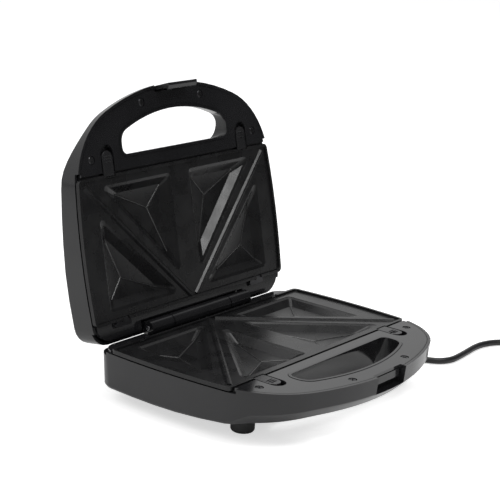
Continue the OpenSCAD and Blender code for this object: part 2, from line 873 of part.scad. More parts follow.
module thermostat() {
    z = pan_z - sheet_t;
    color([0.55, 0.53, 0.5]) in_base() {
        translate([-30, 0, z - 1]) cylinder(r = 8.4, h = 1, $fn = 48);
        translate([-30, 0, z - 5.5]) cylinder(r = 6.5, h = 5, $fn = 48);
        block(-42, -18, -2.5, 2.5, z - 1, z - 0.2);
    }
}

module thermal_fuse() {
    z = pan_z - sheet_t;
    color([0.8, 0.78, 0.7]) in_base() translate([20, 8, z - 2.2]) {
        rod_x(2, 0, 14);
        rod_x(0.6, -8, 22);
    }
}

module terminal_block() {
    color([0.85, 0.84, 0.8]) in_base() translate(block_at) difference() {
        translate([0, 0, 0.1]) cube([30, 12, 10]);
        for (i = [0:2]) translate([5 + 10 * i, -1, 5]) rotate([-90, 0, 0])
            cylinder(r = 1.8, h = 14, $fn = 24);
        for (i = [0:2]) translate([5 + 10 * i, 6, 5]) cylinder(r = 1.5, h = 6, $fn = 24);
    }
}

// ---- Lid trim and latch ----

module lamp(side) {
    translate([side * lamp_x, lamp_y, lamp_seat]) {
        translate([0, 0, -1.5]) cylinder(r = lamp_r + 1.1, h = 1.5, $fn = 48);
        cylinder(r = lamp_r, h = lamp_len, $fn = 48);
    }
}

module lamp_power() {
    color([0.75, 0.1, 0.08]) in_lid() lamp(-1);
}

module lamp_ready() {
    color([0.15, 0.6, 0.15]) in_lid() lamp(1);
}

// Side view of the latch's plate and hook: y across, z up from the parting plane
latch_profile = [
    [latch_face, latch_tip], [latch_face, latch_top - 1.5], [latch_face + 1.5, latch_top],
    [latch_face + latch_t, latch_top], [latch_face + latch_t, latch_tip + 2.6],
    [latch_hook, latch_tip + 2.6], [latch_hook - 0.4, latch_tip + 1.4],
    [latch_face + latch_t - 1, latch_tip]
];

module at_latch_pivot() {
    in_lid() translate([0, latch_pivot.x, -latch_pivot.y]) children();
}

module latch() {
    notch_back = -latch_barrel_r + 0.4;
    color([0.1, 0.1, 0.105]) at_latch_pivot() difference() {
        union() {
            rotate([latch_swing, 0, 0]) mirror([0, 0, 1])
                translate([-latch_len / 2, -latch_pivot.x, -latch_pivot.y])
                rotate([90, 0, 90]) linear_extrude(latch_len) polygon(latch_profile);
            rod_x(latch_barrel_r, -latch_len / 2 + 0.5, latch_len / 2 - 0.5);
        }
        rod_x(latch_pin_r + run_gap, -latch_w, latch_w);
        difference() {
            rod_x(latch_barrel_r + 0.8, -5.2, 5.2);
            block(-6, 6, -10, notch_back, -10, 10);
        }
    }
}

module latch_pin() {
    color([0.6, 0.6, 0.62]) at_latch_pivot()
        rod_x(latch_pin_r, -latch_w / 2 - wall + 0.3, latch_w / 2 + wall - 0.3);
}

// Torsion spring wound round the pin, in the notch of the latch's barrel
module latch_spring() {
    inner = latch_pin_r + 0.15;
    turns = 8;
    wire = 1.1;
    outer_edge = [for (i = [0:turns], s = [0, 1])
        [inner + (s == 0 ? 0.4 : 0.8), (i + s * 0.5 - turns / 2) * wire]];
    color([0.6, 0.6, 0.62]) at_latch_pivot() rotate([0, 90, 0]) rotate_extrude($fn = 32)
        polygon(concat([[inner, -turns / 2 * wire]], outer_edge, [[inner, (turns / 2 + 0.5) * wire]]));
}

// ---- Hinge and feet ----

module hinge_pin() {
    color([0.65, 0.65, 0.67]) in_base() translate([0, hinge_y, 0])
        rod_x(pin_d / 2, -hinge_half, hinge_half);
}

module foot(sx, sy) {
    color([0.07, 0.07, 0.07]) translate([sx * foot_x, middle_y + foot_y(sy), 0])
        rotate_extrude($fn = 64) polygon([
            [0, 0], [foot_r - 2.2, 0], [foot_r - 0.9, 0.5], [foot_r, 1.8], [foot_r, foot_h - 0.05],
            [foot_neck_r, foot_h - 0.05], [foot_neck_r, foot_h + wall + 0.05],
            [foot_neck_r + 1.2, foot_h + wall + 0.05], [foot_neck_r + 0.4, foot_h + wall + 1.8],
            [0, foot_h + wall + 1.8]
        ]);
}

module foot_front_left() {
    foot(-1, -1);
}

module foot_front_right() {
    foot(1, -1);
}

module foot_rear_left() {
    foot(-1, 1);
}

module foot_rear_right() {
    foot(1, 1);
}

// ---- Mains cord ----

// Moulded relief: a grooved neck in the wall and a ringed taper outside it
module strain_relief() {
    color([0.08, 0.08, 0.08]) in_base() translate([cord_x, relief_y, cord_z]) rotate([-90, 0, 0]) {
        translate([0, 0, -6]) cylinder(r = relief_flange_r, h = 2.4, $fn = 48);
        translate([0, 0, -6]) cylinder(r = relief_r, h = 8, $fn = 48);
        translate([0, 0, 0.6]) cylinder(r = relief_flange_r, h = 1.8, $fn = 48);
        taper(relief_r, relief_len);
    }
}

// Taper with rings, from a thick root down to the cord
module taper(root_r, length) {
    rings = floor(length / 3.4) - 1;
    cylinder(r1 = root_r - 0.7, r2 = cord_r + 0.6, h = length, $fn = 48);
    for (i = [1:rings]) translate([0, 0, 3.4 * i])
        cylinder(r = root_r - (root_r - cord_r - 1) * i / rings, h = 1.7, $fn = 48);
}

module mains_cord() {
    color([0.06, 0.06, 0.06]) sweep(smooth(route, 2), cord_r, 10, [0, 1, 0], [0, -1, 0]);
}

module mains_cord_coil() {
    echo(str("least gap between turns of the coil, mm: ", coil_gap));
    color([0.06, 0.06, 0.06]) sweep(coil_path, cord_r, 6, [0, -1, 0], [0, -1, 0]);
}

// Flat body: its plan with round shoulders, cut by a chamfered rectangle from two sides
plug_half = [
    [6.5, -plug_len], [plug_w / 2 - 5, -plug_len], [plug_w / 2 - 1.5, -plug_len + 1.5],
    [plug_w / 2, -plug_len + 5], [plug_w / 2, -18], [plug_w / 2 - 1.4, -13], [plug_w / 2 - 4.5, -7.5],
    [plug_w / 2 - 8, -3], [plug_w / 2 - 11, 0]
];
function cut_corners(x0, x1, c) = [
    [x0 + c, 0], [x1 - c, 0], [x1, c], [x1, plug_t - c],
    [x1 - c, plug_t], [x0 + c, plug_t], [x0, plug_t - c], [x0, c]
];

module plug_body() {
    outline = concat(plug_half,
        [for (i = [len(plug_half) - 1:-1:0]) [-plug_half[i].x, plug_half[i].y]]);
    intersection() {
        linear_extrude(plug_t) polygon(outline);
        rotate([90, 0, 0]) linear_extrude(plug_len) polygon(cut_corners(-plug_w / 2, plug_w / 2, 2));
        translate([-plug_w / 2, 0, 0]) rotate([90, 0, 90])
            linear_extrude(plug_w) polygon(cut_corners(-plug_len, 0, 1.4));
    }
}

module mains_plug() {
    color([0.07, 0.07, 0.07]) translate([coil_end.x, coil_end.y, 0]) {
        difference() {
            translate([0, -plug_relief, 0]) plug_body();
            at_pins(plug_pin_r + run_gap, plug_relief + plug_len - 8, 9);
        }
        translate([0, -plug_relief - 2, coil_end.z]) rotate([-90, 0, 0])
            taper(plug_t / 2 - 3.6, plug_relief + 2);
    }
}

module at_pins(r, from, length) {
    for (side = [-1, 1]) translate([side * plug_pin_gap / 2, -from, coil_end.z])
        rotate([90, 0, 0]) cylinder(r = r, h = length, $fn = 32);
}

module plug_pins() {
    root = plug_relief + plug_len;
    color([0.75, 0.74, 0.7]) translate([coil_end.x, coil_end.y, 0]) {
        at_pins(plug_pin_r, root - 7.9, 7.9 + plug_pin_len - 1.6);
        for (side = [-1, 1])
            translate([side * plug_pin_gap / 2, -root - plug_pin_len + 1.6, coil_end.z])
                sphere(r = plug_pin_r, $fn = 32);
    }
}

// Catmull-Rom points between those of a route
function smooth(p, steps) = [
    for (i = [0:len(p) - 2], s = [0:steps - 1])
        let (a = p[max(i - 1, 0)])
        let (b = p[i])
        let (c = p[i + 1])
        let (d = p[min(i + 2, len(p) - 1)])
        let (t = s / steps)
        ((2 * b) + (c - a) * t + (2 * a - 5 * b + 4 * c - d) * t * t
            + (3 * b - a - 3 * c + d) * t * t * t) / 2,
    p[len(p) - 1]
];

function unit(v) = v / norm(v);

// Round tube with closed ends through a list of points, its ends square to two directions
module sweep(path, r, sides, first_dir, last_dir) {
    n = len(path);
    points = [
        for (i = [0:n - 1])
            let (t = i == 0 ? first_dir : i == n - 1 ? last_dir : unit(path[i + 1] - path[i - 1]))
            let (u = unit(cross([0, 0, 1], t)))
            let (v = cross(t, u))
            for (k = [0:sides - 1])
                path[i] + r * (u * cos(360 * k / sides) + v * sin(360 * k / sides))
    ];
    start = [[for (k = [sides - 1:-1:0]) k]];
    end = [[for (k = [0:sides - 1]) (n - 1) * sides + k]];
    faces = concat(start, side_faces(sides, n), end);
    polyhedron(points, [for (f = faces) [for (i = [len(f) - 1:-1:0]) f[i]]]);
}

base_shell();
base_frame();
base_plate();
base_heater();
base_reflector();
base_plate_clips();
base_screws();
base_button_left();
base_button_right();
foot_front_left();
foot_front_right();
foot_rear_left();
foot_rear_right();
hinge_pin();
thermostat();
thermal_fuse();
terminal_block();
lid_shell();
lid_frame();
lid_plate();
lid_heater();
lid_reflector();
lid_plate_clips();
lid_screws();
lid_button_left();
lid_button_right();
lamp_power();
lamp_ready();
latch();
latch_pin();
latch_spring();
strain_relief();
mains_cord();
mains_cord_coil();
mains_plug();
plug_pins();
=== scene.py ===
"""Looks of a black sandwich toaster that stands open on a white table."""
import json
import math

import bmesh
import bpy
from mathutils import Matrix, Vector


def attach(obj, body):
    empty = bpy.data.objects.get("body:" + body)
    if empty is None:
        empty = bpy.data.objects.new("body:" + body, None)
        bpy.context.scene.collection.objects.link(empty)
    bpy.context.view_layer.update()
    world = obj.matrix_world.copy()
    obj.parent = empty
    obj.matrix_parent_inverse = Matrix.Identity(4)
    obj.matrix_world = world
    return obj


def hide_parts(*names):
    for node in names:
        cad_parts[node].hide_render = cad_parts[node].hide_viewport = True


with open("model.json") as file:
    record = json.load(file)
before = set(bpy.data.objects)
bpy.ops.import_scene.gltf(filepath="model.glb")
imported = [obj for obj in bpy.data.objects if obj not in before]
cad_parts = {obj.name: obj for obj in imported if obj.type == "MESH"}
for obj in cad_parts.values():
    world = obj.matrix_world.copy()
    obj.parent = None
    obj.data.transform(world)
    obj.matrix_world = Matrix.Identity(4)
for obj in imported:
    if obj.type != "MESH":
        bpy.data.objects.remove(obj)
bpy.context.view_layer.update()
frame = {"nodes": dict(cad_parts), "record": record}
scene = bpy.context.scene
scene.view_settings.view_transform = "Standard"


# ---- Camera ----
# It stands left of the handle and a little above it, with a long lens, and is rolled by a few
# degrees. Its place, turn and focal length were fitted to the photograph.
CAMERA_AT = Vector((-0.8834, -0.6190, 0.3994))
CAMERA_TURN = math.radians(-54.16)
CAMERA_DIP = math.radians(15.32)
CAMERA_ROLL = math.radians(4.06)
FRAME_PX = 500
FOCAL_PX = 1541.5
SENSOR_MM = 36.0
SEES_AS_FAR_AS = 20

ahead = Vector((
    -math.sin(CAMERA_TURN) * math.cos(CAMERA_DIP),
    math.cos(CAMERA_TURN) * math.cos(CAMERA_DIP),
    -math.sin(CAMERA_DIP),
))
level_right = ahead.cross(Vector((0, 0, 1))).normalized()
level_up = level_right.cross(ahead)
right = level_right * math.cos(CAMERA_ROLL) + level_up * math.sin(CAMERA_ROLL)
up = level_up * math.cos(CAMERA_ROLL) - level_right * math.sin(CAMERA_ROLL)
facing = Matrix((right, up, -ahead)).transposed().to_4x4()
camera_data = bpy.data.cameras.new("camera")
camera_data.sensor_width = SENSOR_MM
camera_data.lens = FOCAL_PX / FRAME_PX * SENSOR_MM
camera_data.clip_end = SEES_AS_FAR_AS
camera = bpy.data.objects.new("camera", camera_data)
camera.matrix_world = Matrix.Translation(CAMERA_AT) @ facing
scene.collection.objects.link(camera)
scene.camera = camera


# ---- Studio ----
# An even grey light from all round, with a white studio behind and to the left for what shines.
# Three softboxes give the highlights: one at the left, one overhead and one high in front.
AMBIENT = 0.55
DIM_SIDE = 0.06
WHITE_SIDE = (-0.35, 0.85, 0.25)
HALF_SWEEP = 0.35


def wire(tree, *pairs):
    """Links the first socket of each pair to the second."""
    for source, target in pairs:
        tree.links.new(source, target)


def node(tree, kind, **settings):
    """A new node. in_2=0.5 sets its input number 2, and any other name sets a property of it."""
    made = tree.nodes.new(kind)
    for name, value in settings.items():
        if name.startswith("in_"):
            made.inputs[int(name[3:])].default_value = value
        else:
            setattr(made, name, value)
    return made


world = bpy.data.worlds.new("studio")
world.use_nodes = True
scene.world = world
tree = world.node_tree
tree.nodes.clear()
rays = node(tree, "ShaderNodeLightPath")
where = node(tree, "ShaderNodeTexCoord")
toward = node(tree, "ShaderNodeVectorMath", operation="DOT_PRODUCT", in_1=WHITE_SIDE)
sweep = node(
    tree, "ShaderNodeMapRange", interpolation_type="SMOOTHSTEP",
    in_1=-HALF_SWEEP, in_2=HALF_SWEEP, in_3=DIM_SIDE, in_4=1.0,
)
shiny = node(tree, "ShaderNodeMath", operation="MAXIMUM")
seen = node(tree, "ShaderNodeMix", in_2=AMBIENT)
direct = node(tree, "ShaderNodeMix", in_3=1.0)
light = node(tree, "ShaderNodeBackground")
out = node(tree, "ShaderNodeOutputWorld")
wire(
    tree,
    (where.outputs["Generated"], toward.inputs[0]),
    (toward.outputs["Value"], sweep.inputs[0]),
    (rays.outputs["Is Glossy Ray"], shiny.inputs[0]),
    (rays.outputs["Is Transmission Ray"], shiny.inputs[1]),
    (shiny.outputs[0], seen.inputs[0]),
    (sweep.outputs[0], seen.inputs[3]),
    (rays.outputs["Is Camera Ray"], direct.inputs[0]),
    (seen.outputs[0], direct.inputs[2]),
    (direct.outputs[0], light.inputs["Strength"]),
    (light.outputs[0], out.inputs[0]),
)


def softbox(name, at, aim, size, watts):
    """A rectangular softbox at a place, turned to a point."""
    lamp = bpy.data.lights.new(name, "AREA")
    lamp.shape = "RECTANGLE"
    lamp.size, lamp.size_y = size
    lamp.energy = watts
    holder = bpy.data.objects.new(name, lamp)
    holder.location = at
    holder.rotation_euler = (Vector(aim) - Vector(at)).to_track_quat("-Z", "Y").to_euler()
    scene.collection.objects.link(holder)


softbox("softbox_left", at=(-1.1, 0.3, 1.3), aim=(0, 0, 0.05), size=(0.9, 0.9), watts=8)
softbox("softbox_top", at=(0.2, 0.5, 1.7), aim=(0, 0, 0.05), size=(1.2, 0.8), watts=7)
softbox("softbox_front", at=(0.04, -0.75, 1.25), aim=(0, 0.08, 0.11), size=(0.5, 0.3), watts=5)


# ---- Table ----
# A white matt table. It is lifted to white for the camera and for what shines, and keeps the
# toaster's own soft shadow. It lies a hair below the feet.
TABLE_HALF = 3.0
TABLE_WHITE = 0.86
TABLE_LIFT = 0.6
TABLE_SHINE = 0.15
TABLE_Z = -0.0002

table = bpy.data.meshes.new("table")
table.from_pydata(
    [(x * TABLE_HALF, y * TABLE_HALF, 0) for x, y in ((-1, -1), (1, -1), (1, 1), (-1, 1))],
    [],
    [(0, 1, 2, 3)],
)
floor = bpy.data.objects.new("table", table)
scene.collection.objects.link(floor)
paper = bpy.data.materials.new("table_white")
paper.use_nodes = True
tree = paper.node_tree
tree.nodes.clear()
rays = node(tree, "ShaderNodeLightPath")
sees = node(tree, "ShaderNodeMath", operation="MULTIPLY_ADD", in_1=TABLE_SHINE)
lift = node(tree, "ShaderNodeMath", operation="MULTIPLY", in_1=TABLE_LIFT)
glow = node(tree, "ShaderNodeEmission")
matt = node(tree, "ShaderNodeBsdfDiffuse", in_0=(TABLE_WHITE, TABLE_WHITE, TABLE_WHITE, 1))
both = node(tree, "ShaderNodeAddShader")
out = node(tree, "ShaderNodeOutputMaterial")
wire(
    tree,
    (rays.outputs["Is Glossy Ray"], sees.inputs[0]),
    (rays.outputs["Is Camera Ray"], sees.inputs[2]),
    (sees.outputs[0], lift.inputs[0]),
    (lift.outputs[0], glow.inputs["Strength"]),
    (glow.outputs[0], both.inputs[0]),
    (matt.outputs[0], both.inputs[1]),
    (both.outputs[0], out.inputs[0]),
)
table.materials.append(paper)
floor.location.z = TABLE_Z


# ---- Mains cord ----
# A round two-core lead in black plastic. It leaves a ringed relief in the back wall, drops to
# the table, goes round the right side, and the rest lies in a coil with its plug, out of view.
CORD_D = 0.005
RELIEF_END = (0.062, 0.090493, 0.021)
ROUTE = [
    RELIEF_END, (0.062, 0.093, 0.0206), (0.063, 0.101, 0.0186), (0.066, 0.109, 0.0136),
    (0.071, 0.115, 0.008), (0.078, 0.120, 0.0042), (0.087, 0.124, 0.0028), (0.098, 0.126, 0.0026),
    (0.110, 0.124, 0.0026), (0.121, 0.118, 0.0026), (0.129, 0.108, 0.0026), (0.133, 0.096, 0.0026),
    (0.135, 0.080, 0.0026), (0.136, 0.060, 0.0026), (0.136, 0.040, 0.0026), (0.136, 0.020, 0.0026),
    (0.136, 0.0, 0.0026), (0.136, -0.020, 0.0026), (0.137, -0.038, 0.0026), (0.138, -0.051, 0.0026),
    (0.141, -0.061, 0.0026), (0.147, -0.069, 0.0026), (0.157, -0.073, 0.0026), (0.170, -0.073, 0.0026),
    (0.184, -0.072, 0.0026), (0.198, -0.071, 0.0026), (0.210, -0.072, 0.0026), (0.221, -0.076, 0.0026),
    (0.230, -0.083, 0.0026), (0.237, -0.092, 0.0026), (0.240, -0.102, 0.0026), (0.240, -0.111, 0.0026),
]
ROUTE_STEPS = 4
COIL_TURNS = 3
COIL_STEPS = 48
COIL_R = 6 * CORD_D
COIL_PITCH = CORD_D + 0.0008
COIL_LAYER = CORD_D + 0.0006
CORD_SIDE_STEPS = 4


def smooth(points, steps):
    """Catmull-Rom points between those of a route."""
    made = []
    for i in range(len(points) - 1):
        a, b = Vector(points[max(i - 1, 0)]), Vector(points[i])
        c, d = Vector(points[i + 1]), Vector(points[min(i + 2, len(points) - 1)])
        for s in range(steps):
            t = s / steps
            made.append((
                2 * b + (c - a) * t + (2 * a - 5 * b + 4 * c - d) * t ** 2 + (3 * b - a - 3 * c + d) * t ** 3
            ) / 2)
    return made + [Vector(points[-1])]


def coil_point(centre, t):
    """A point of the coil after t turns: in along the table, up a layer and out again."""
    radius = COIL_R - COIL_PITCH * (COIL_TURNS / 2 - abs(t - COIL_TURNS / 2))
    climb = min(max(2 * (t - COIL_TURNS / 2) + 0.5, 0), 1)
    turn = math.tau * t
    rise = COIL_LAYER * climb * climb * (3 - 2 * climb)
    return centre + Vector((-radius * math.cos(turn), -radius * math.sin(turn), rise))


coil_start = Vector(ROUTE[-1])
coil_centre = coil_start + Vector((COIL_R, -CORD_D, 0))
coil_end = coil_start + Vector((0, -2 * CORD_D, COIL_LAYER))
line = smooth(ROUTE, ROUTE_STEPS)
line += [coil_point(coil_centre, i / COIL_STEPS) for i in range(COIL_TURNS * COIL_STEPS + 1)]
line.append(coil_end)
curve = bpy.data.curves.new("mains_lead", "CURVE")
curve.dimensions = "3D"
curve.bevel_depth = CORD_D / 2
curve.bevel_resolution = CORD_SIDE_STEPS
curve.use_fill_caps = True
spline = curve.splines.new("POLY")
spline.points.add(len(line) - 1)
for point, at in zip(spline.points, line):
    point.co = (*at, 1)
spline.use_smooth = True


def surface_group(name, **sizes):
    """A shader group with the sizes as inputs, a Height for a bump and a Mask from 0 to 1."""
    group = bpy.data.node_groups.new(name, "ShaderNodeTree")
    face = group.interface
    for size, value in sizes.items():
        face.new_socket(name=size, in_out="INPUT", socket_type="NodeSocketFloat").default_value = value
    for result in ("Height", "Mask"):
        face.new_socket(name=result, in_out="OUTPUT", socket_type="NodeSocketFloat")
    given = node(group, "NodeGroupInput")
    where = node(group, "ShaderNodeTexCoord")
    end = node(group, "NodeGroupOutput")
    return group, given.outputs, where.outputs["Object"], end.inputs


# A fine grain on a slow wave, for what is moulded, cast or sprayed
moulded_surface, given, place, results = surface_group("moulded_surface", Grain=900.0, Wave=60.0)
grain = node(moulded_surface, "ShaderNodeTexNoise", in_3=3.0, in_4=0.55)
wave = node(moulded_surface, "ShaderNodeTexNoise", in_3=2.0, in_4=0.5)
total = node(moulded_surface, "ShaderNodeMath", operation="MULTIPLY_ADD", in_1=0.35)
smear = node(moulded_surface, "ShaderNodeMapRange", in_1=0.35, in_2=0.7)
wire(
    moulded_surface,
    (place, grain.inputs["Vector"]),
    (place, wave.inputs["Vector"]),
    (given["Grain"], grain.inputs["Scale"]),
    (given["Wave"], wave.inputs["Scale"]),
    (grain.outputs[0], total.inputs[0]),
    (wave.outputs[0], total.inputs[2]),
    (wave.outputs[0], smear.inputs[0]),
    (total.outputs[0], results["Height"]),
    (smear.outputs[0], results["Mask"]),
)


def skinned(name, group, sizes, shades, rough, spread, strength, depth):
    """A material whose colour, roughness and relief follow a surface group, and its shader."""
    made = bpy.data.materials.new(name)
    made.use_nodes = True
    tree = made.node_tree
    shader = tree.nodes["Principled BSDF"]
    skin = node(tree, "ShaderNodeGroup", node_tree=group)
    for size, value in sizes.items():
        skin.inputs[size].default_value = value
    uneven = node(tree, "ShaderNodeMapRange", in_3=rough, in_4=rough + spread)
    shade = node(tree, "ShaderNodeMix", data_type="RGBA", in_6=(*shades[0], 1), in_7=(*shades[1], 1))
    relief = node(tree, "ShaderNodeBump", in_0=strength)
    relief.inputs["Distance"].default_value = depth
    wire(
        tree,
        (skin.outputs["Mask"], uneven.inputs[0]),
        (uneven.outputs[0], shader.inputs["Roughness"]),
        (skin.outputs["Mask"], shade.inputs[0]),
        (shade.outputs[2], shader.inputs["Base Color"]),
        (skin.outputs["Height"], relief.inputs["Height"]),
        (relief.outputs[0], shader.inputs["Normal"]),
    )
    return made, shader


def finish(name, colour, rough, grain, wave, depth, spread=0.06, specular=0.5):
    """A moulded, cast or sprayed finish. It gets a quarter paler where it gets rougher by spread."""
    paler = [min(1, c * 1.25 + 0.002) for c in colour]
    made, shader = skinned(
        name, moulded_surface, {"Grain": grain, "Wave": wave}, (colour, paler), rough,
        spread=spread, strength=0.6, depth=depth,
    )
    shader.inputs["Specular IOR Level"].default_value = specular
    return made


cord_finish = finish("cord_black", (0.016, 0.016, 0.017), 0.36, grain=2600, wave=90, depth=0.00001)
curve.materials.append(cord_finish)
mains_lead = bpy.data.objects.new("mains_lead", curve)
scene.collection.objects.link(mains_lead)
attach(mains_lead, "base")
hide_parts("mains_cord", "mains_cord_coil")


# ---- Outer housings ----
# Two drafted shells in glossy black ABS, each one moulding, the base's with vent slots. A copy
# of each CAD solid gets the small round that a mould leaves on every edge.
JOIN_WITHIN = 0.00001
FLAT_WITHIN = math.radians(0.03)
SHARP_FROM = math.radians(32)
LARGE_FACE_WEIGHT = 80
HOUSING_ROUND = 0.0005


def merged(name):
    """A CAD solid's mesh, open for work, with its loose triangles merged."""
    work = bmesh.new()
    work.from_mesh(frame["nodes"][name].data)
    bmesh.ops.remove_doubles(work, verts=work.verts, dist=JOIN_WITHIN)
    return work


def joined(name):
    """A copy of a CAD solid's mesh with its triangles joined into whole flat faces."""
    work = merged(name)
    bmesh.ops.dissolve_limit(work, angle_limit=FLAT_WITHIN, verts=work.verts, edges=work.edges)
    mesh = frame["nodes"][name].data.copy()
    work.to_mesh(mesh)
    work.free()
    return mesh


def apply(piece):
    """Turns what the modifiers make into the piece's own mesh."""
    bpy.context.view_layer.update()
    made = bpy.data.meshes.new_from_object(piece.evaluated_get(bpy.context.evaluated_depsgraph_get()))
    piece.modifiers.clear()
    piece.data = made
    made.name = piece.name


def moulded(name, body, material, round_r=0.0, sharp_from=SHARP_FROM, segments=2):
    """A copy of a CAD solid with rounded edges, if it has a round, and shading by face area."""
    mesh = joined(name)
    mesh.materials.clear()
    mesh.materials.append(material)
    mesh.shade_smooth()
    if not round_r:
        mesh.set_sharp_from_angle(angle=sharp_from)
    piece = bpy.data.objects.new(name + "_moulded", mesh)
    scene.collection.objects.link(piece)
    if round_r:
        edge = piece.modifiers.new("rounded edges", "BEVEL")
        edge.width = round_r
        edge.segments = segments
        edge.limit_method = "ANGLE"
        edge.angle_limit = sharp_from
        edge.use_clamp_overlap = True
    even = piece.modifiers.new("even shading", "WEIGHTED_NORMAL")
    even.weight = LARGE_FACE_WEIGHT
    even.keep_sharp = True
    apply(piece)
    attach(piece, body)
    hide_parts(name)
    return piece


housing_gloss = finish(
    "housing_gloss", (0.010, 0.010, 0.011), 0.12, grain=1400, wave=25, depth=0.000006, spread=0.05,
)
for side in ("base", "lid"):
    moulded(side + "_shell", side, housing_gloss, HOUSING_ROUND)


# ---- Inner mouldings ----
# Each half's handle deck, button trays, plate seat and hinge knuckles are one glossy black
# moulding. It drops into the shell and leaves a fine dark line all round.
DECK_ROUND = 0.0003
deck_gloss = finish(
    "deck_gloss", (0.009, 0.009, 0.010), 0.09,
    grain=1400, wave=25, depth=0.000002, spread=0.04, specular=0.7,
)
for side in ("base", "lid"):
    moulded(side + "_frame", side, deck_gloss, DECK_ROUND)


# ---- Cooking plates ----
# Cast aluminium with a sprayed black nonstick coat, and four triangular pockets, each with a
# three-sided point in its floor, whose creases show as fine raised lines in a paler, glossier
# coat, a painted highlight. A plate drops into its seat, and lifts out when its two buttons slide.
PLATE_ROUND = 0.0006
PLATE_SHARP_FROM = math.radians(7)
nonstick = finish(
    "nonstick_coating", (0.008, 0.008, 0.0085), 0.25,
    grain=2400, wave=70, depth=0.000012, spread=0.07, specular=0.38,
)
# Painted highlight: the raised crease lines get a paler, glossier coat than the plate, standing in for the
# light that the creases catch
rubbed_coat = finish(
    "rubbed_coat", (0.018, 0.018, 0.0185), 0.16, grain=2400, wave=110, depth=0.000008, specular=0.8,
)
# Where each half's plate lies: the hinge's place, the way to the handle and out of the plate
JOINTS = {j["name"]: j for j in frame["record"]["behaviour"]["joints"]}
HINGE = Vector(JOINTS["lid_hinge"]["pos_m"])
FORWARD = {side: Vector(JOINTS[side + "_left_release"]["axis"]) for side in ("base", "lid")}
OUTWARD = {side: FORWARD[side].cross(Vector((turn, 0, 0))) for side, turn in (("base", 1), ("lid", -1))}
# The right half's two pockets: the right-angled corner, and how far x and y go to the tips
HALF_W = 0.110
HALF_D = 0.0525
SIDE_LAND = 0.017
MIDDLE_LAND = 0.011
END_LAND = 0.0075
BACK_CORNER = Vector((HALF_W - SIDE_LAND, HALF_D - END_LAND))
BACK_TIPS = Vector((0.0155, 0.0272 - HALF_D))
FRONT_CORNER = Vector((MIDDLE_LAND, END_LAND - HALF_D))
FRONT_TIPS = Vector((HALF_W - 0.0215, HALF_D - 0.0198))
LINE_START = 0.005
LINE_REACH = 0.64
LINE_R = 0.0008
LINE_SIDES = 10
LINE_SUNK = 0.0003
LINE_STEPS = 14


def new_tree(name, output, **inputs):
    """A Geometry Nodes tree with inputs of a kind and a default, and one output of shapes."""
    tree = bpy.data.node_groups.new(name, "GeometryNodeTree")
    for title, (kind, value) in inputs.items():
        socket = tree.interface.new_socket(name=title, in_out="INPUT", socket_type="NodeSocket" + kind)
        if value is not None:
            socket.default_value = value
    tree.interface.new_socket(name=output, in_out="OUTPUT", socket_type="NodeSocketGeometry")
    return tree, node(tree, "NodeGroupInput").outputs


def close_tree(tree, shapes, material):
    """Ends a tree: its shapes are made real, get their material and go out."""
    real = node(tree, "GeometryNodeRealizeInstances")
    coat = node(tree, "GeometryNodeSetMaterial")
    end = node(tree, "NodeGroupOutput")
    wire(
        tree,
        (shapes, real.inputs["Geometry"]),
        (real.outputs["Geometry"], coat.inputs["Geometry"]),
        (material, coat.inputs["Material"]),
        (coat.outputs["Geometry"], end.inputs[0]),
    )


def grown(name, start, tree, **settings):
    """The piece that a tree makes from a starting mesh, as a plain mesh."""
    piece = bpy.data.objects.new(name, start)
    scene.collection.objects.link(piece)
    growth = piece.modifiers.new(name, "NODES")
    growth.node_group = tree
    for item in tree.interface.items_tree:
        if item.in_out == "INPUT" and item.name in settings:
            growth[item.identifier] = settings[item.name]
    apply(piece)
    piece.data.shade_smooth()
    return piece


def floor_line_tree():
    """Raised lines that follow the plate below them: each is dropped onto it, then made round."""
    tree, given = new_tree(
        "floor_lines", "Ridges",
        Lines=("Geometry", None), Plate=("Object", None), Inward=("Vector", None),
        Radius=("Float", LINE_R), Sunk=("Float", LINE_SUNK), Steps=("Int", LINE_STEPS),
        Coat=("Material", None),
    )
    line = node(tree, "GeometryNodeMeshToCurve")
    fine = node(tree, "GeometryNodeResampleCurve")
    target = node(tree, "GeometryNodeObjectInfo")
    drop = node(tree, "GeometryNodeRaycast")
    sink = node(tree, "ShaderNodeVectorMath", operation="SCALE")
    laid = node(tree, "GeometryNodeSetPosition")
    ring = node(tree, "GeometryNodeCurvePrimitiveCircle", in_0=LINE_SIDES)
    tube = node(tree, "GeometryNodeCurveToMesh")
    tube.inputs["Fill Caps"].default_value = True
    wire(
        tree,
        (given["Lines"], line.inputs["Mesh"]),
        (line.outputs[0], fine.inputs["Curve"]),
        (given["Steps"], fine.inputs["Count"]),
        (given["Plate"], target.inputs["Object"]),
        (target.outputs["Geometry"], drop.inputs["Target Geometry"]),
        (given["Inward"], drop.inputs["Ray Direction"]),
        (given["Inward"], sink.inputs[0]),
        (given["Sunk"], sink.inputs["Scale"]),
        (fine.outputs[0], laid.inputs["Geometry"]),
        (drop.outputs["Hit Position"], laid.inputs["Position"]),
        (sink.outputs["Vector"], laid.inputs["Offset"]),
        (given["Radius"], ring.inputs["Radius"]),
        (laid.outputs[0], tube.inputs["Curve"]),
        (ring.outputs[0], tube.inputs["Profile Curve"]),
    )
    close_tree(tree, tube.outputs[0], given["Coat"])
    return tree


